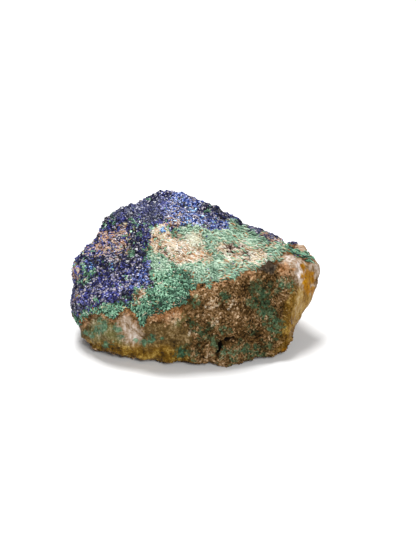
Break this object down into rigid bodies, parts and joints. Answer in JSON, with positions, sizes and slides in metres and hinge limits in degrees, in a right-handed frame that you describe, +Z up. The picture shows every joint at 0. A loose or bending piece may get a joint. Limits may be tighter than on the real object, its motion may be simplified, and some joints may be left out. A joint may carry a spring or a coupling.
{
  "type": "malachite specimen",
  "caption": "Broken hand specimen of rock: deep blue azurite and green malachite crusts over brown iron-stained quartz, resting on a flat break.",
  "frame": {"origin": "on the flat break that it rests on, under the middle of the bounding box", "axes": "+Z up from the break, +X along its length towards the quartz end, +Y away from the face that shows the long edge"},
  "size_m": [0.0722, 0.0512, 0.0388],
  "materials": {
    "rock": "rough broken quartz, stained brown and ochre by iron"
  },
  "bodies": {
    "root": {"malachite_specimen": "rock"}
  },
  "joints": []
}
